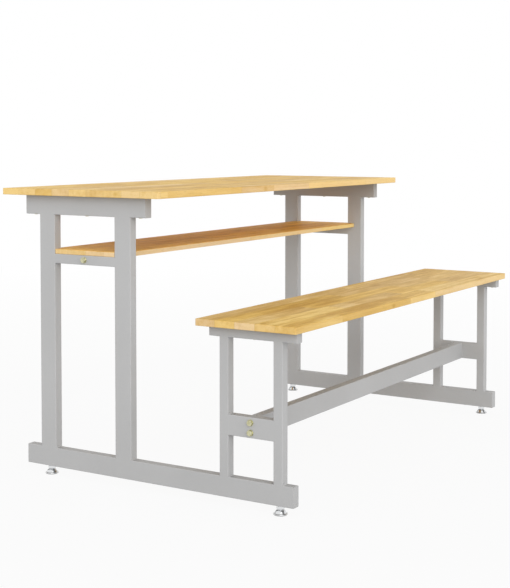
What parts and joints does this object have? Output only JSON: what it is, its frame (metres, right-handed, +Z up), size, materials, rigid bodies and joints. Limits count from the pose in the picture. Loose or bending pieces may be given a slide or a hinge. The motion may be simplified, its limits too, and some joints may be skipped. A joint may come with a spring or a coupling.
{
  "type": "school desk with bench",
  "caption": "Flat-topped school desk with a book shelf and a backless bench on one grey steel tube frame with levelling feet.",
  "frame": {"origin": "on the floor, at the centre of the whole desk's bounding box", "axes": "+X along the boards to the right-hand end frame, +Y from the bench towards the desk, +Z up"},
  "size_m": [1.35, 0.891, 0.75],
  "materials": {
    "grey_powder_coat": "satin grey powder coat on welded steel tube",
    "desktop_wood": "clear lacquer on edge-glued, finger-jointed light hardwood",
    "seat_wood": "clear lacquer on edge-glued, finger-jointed light hardwood",
    "shelf_wood": "clear lacquer on edge-glued, finger-jointed light hardwood",
    "yellow_zinc": "yellow-passivated zinc on steel fasteners",
    "plain_zinc": "bright zinc on steel",
    "foot_chrome": "bright chrome plate",
    "foot_plastic": "black polypropylene"
  },
  "bodies": {
    "desk": {"desktop": "desktop_wood", "shelf": "shelf_wood", "seat": "seat_wood", "stretcher": "grey_powder_coat", "left_runner": "grey_powder_coat", "left_runner_caps": "grey_powder_coat", "left_desk_back_leg": "grey_powder_coat", "left_desk_front_leg": "grey_powder_coat", "left_desk_top_rail": "grey_powder_coat", "left_desk_top_rail_caps": "grey_powder_coat", "left_bench_back_leg": "grey_powder_coat", "left_bench_front_leg": "grey_powder_coat", "left_seat_rail": "grey_powder_coat", "left_seat_rail_caps": "grey_powder_coat", "left_shelf_rail": "grey_powder_coat", "left_bench_cross_rail": "grey_powder_coat", "left_shelf_bracket": "grey_powder_coat", "left_stretcher_end_plate": "grey_powder_coat", "left_bolts": "yellow_zinc", "left_washers": "yellow_zinc", "left_nuts": "plain_zinc", "left_foot_nuts": "plain_zinc", "left_desktop_screws": "yellow_zinc", "left_seat_screws": "yellow_zinc", "left_shelf_screws": "yellow_zinc", "right_runner": "grey_powder_coat", "right_runner_caps": "grey_powder_coat", "right_desk_back_leg": "grey_powder_coat", "right_desk_front_leg": "grey_powder_coat", "right_desk_top_rail": "grey_powder_coat", "right_desk_top_rail_caps": "grey_powder_coat", "right_bench_back_leg": "grey_powder_coat", "right_bench_front_leg": "grey_powder_coat", "right_seat_rail": "grey_powder_coat", "right_seat_rail_caps": "grey_powder_coat", "right_shelf_rail": "grey_powder_coat", "right_bench_cross_rail": "grey_powder_coat", "right_shelf_bracket": "grey_powder_coat", "right_stretcher_end_plate": "grey_powder_coat", "right_bolts": "yellow_zinc", "right_washers": "yellow_zinc", "right_nuts": "plain_zinc", "right_foot_nuts": "plain_zinc", "right_desktop_screws": "yellow_zinc", "right_seat_screws": "yellow_zinc", "right_shelf_screws": "yellow_zinc"},
    "left_bench_foot": {"left_bench_foot_cup": "foot_chrome", "left_bench_foot_pad": "foot_plastic"},
    "left_bench_foot_screw": {"left_bench_foot_stem": "foot_chrome"},
    "left_desk_foot": {"left_desk_foot_cup": "foot_chrome", "left_desk_foot_pad": "foot_plastic"},
    "left_desk_foot_screw": {"left_desk_foot_stem": "foot_chrome"},
    "right_bench_foot": {"right_bench_foot_cup": "foot_chrome", "right_bench_foot_pad": "foot_plastic"},
    "right_bench_foot_screw": {"right_bench_foot_stem": "foot_chrome"},
    "right_desk_foot": {"right_desk_foot_cup": "foot_chrome", "right_desk_foot_pad": "foot_plastic"},
    "right_desk_foot_screw": {"right_desk_foot_stem": "foot_chrome"}
  },
  "joints": [
    {"name": "left_bench_foot_height", "type": "slide", "parent": "desk", "child": "left_bench_foot", "axis": [0, 0, -1], "range_m": [0, 0.015]},
    {"name": "left_bench_foot_turn", "type": "hinge", "parent": "left_bench_foot", "child": "left_bench_foot_screw", "pos_m": [-0.6375, -0.383, 0.02], "axis": [0, 0, -1], "range_deg": [0, 4320]},
    {"name": "left_desk_foot_height", "type": "slide", "parent": "desk", "child": "left_desk_foot", "axis": [0, 0, -1], "range_m": [0, 0.015]},
    {"name": "left_desk_foot_turn", "type": "hinge", "parent": "left_desk_foot", "child": "left_desk_foot_screw", "pos_m": [-0.6375, 0.3145, 0.02], "axis": [0, 0, -1], "range_deg": [0, 4320]},
    {"name": "right_bench_foot_height", "type": "slide", "parent": "desk", "child": "right_bench_foot", "axis": [0, 0, -1], "range_m": [0, 0.015]},
    {"name": "right_bench_foot_turn", "type": "hinge", "parent": "right_bench_foot", "child": "right_bench_foot_screw", "pos_m": [0.6375, -0.383, 0.02], "axis": [0, 0, -1], "range_deg": [0, 4320]},
    {"name": "right_desk_foot_height", "type": "slide", "parent": "desk", "child": "right_desk_foot", "axis": [0, 0, -1], "range_m": [0, 0.015]},
    {"name": "right_desk_foot_turn", "type": "hinge", "parent": "right_desk_foot", "child": "right_desk_foot_screw", "pos_m": [0.6375, 0.3145, 0.02], "axis": [0, 0, -1], "range_deg": [0, 4320]}
  ],
  "couplings": [
    {"joint": "left_bench_foot_turn", "follows": "left_bench_foot_height", "rad_per_m": 5026.5},
    {"joint": "left_desk_foot_turn", "follows": "left_desk_foot_height", "rad_per_m": 5026.5},
    {"joint": "right_bench_foot_turn", "follows": "right_bench_foot_height", "rad_per_m": 5026.5},
    {"joint": "right_desk_foot_turn", "follows": "right_desk_foot_height", "rad_per_m": 5026.5}
  ]
}
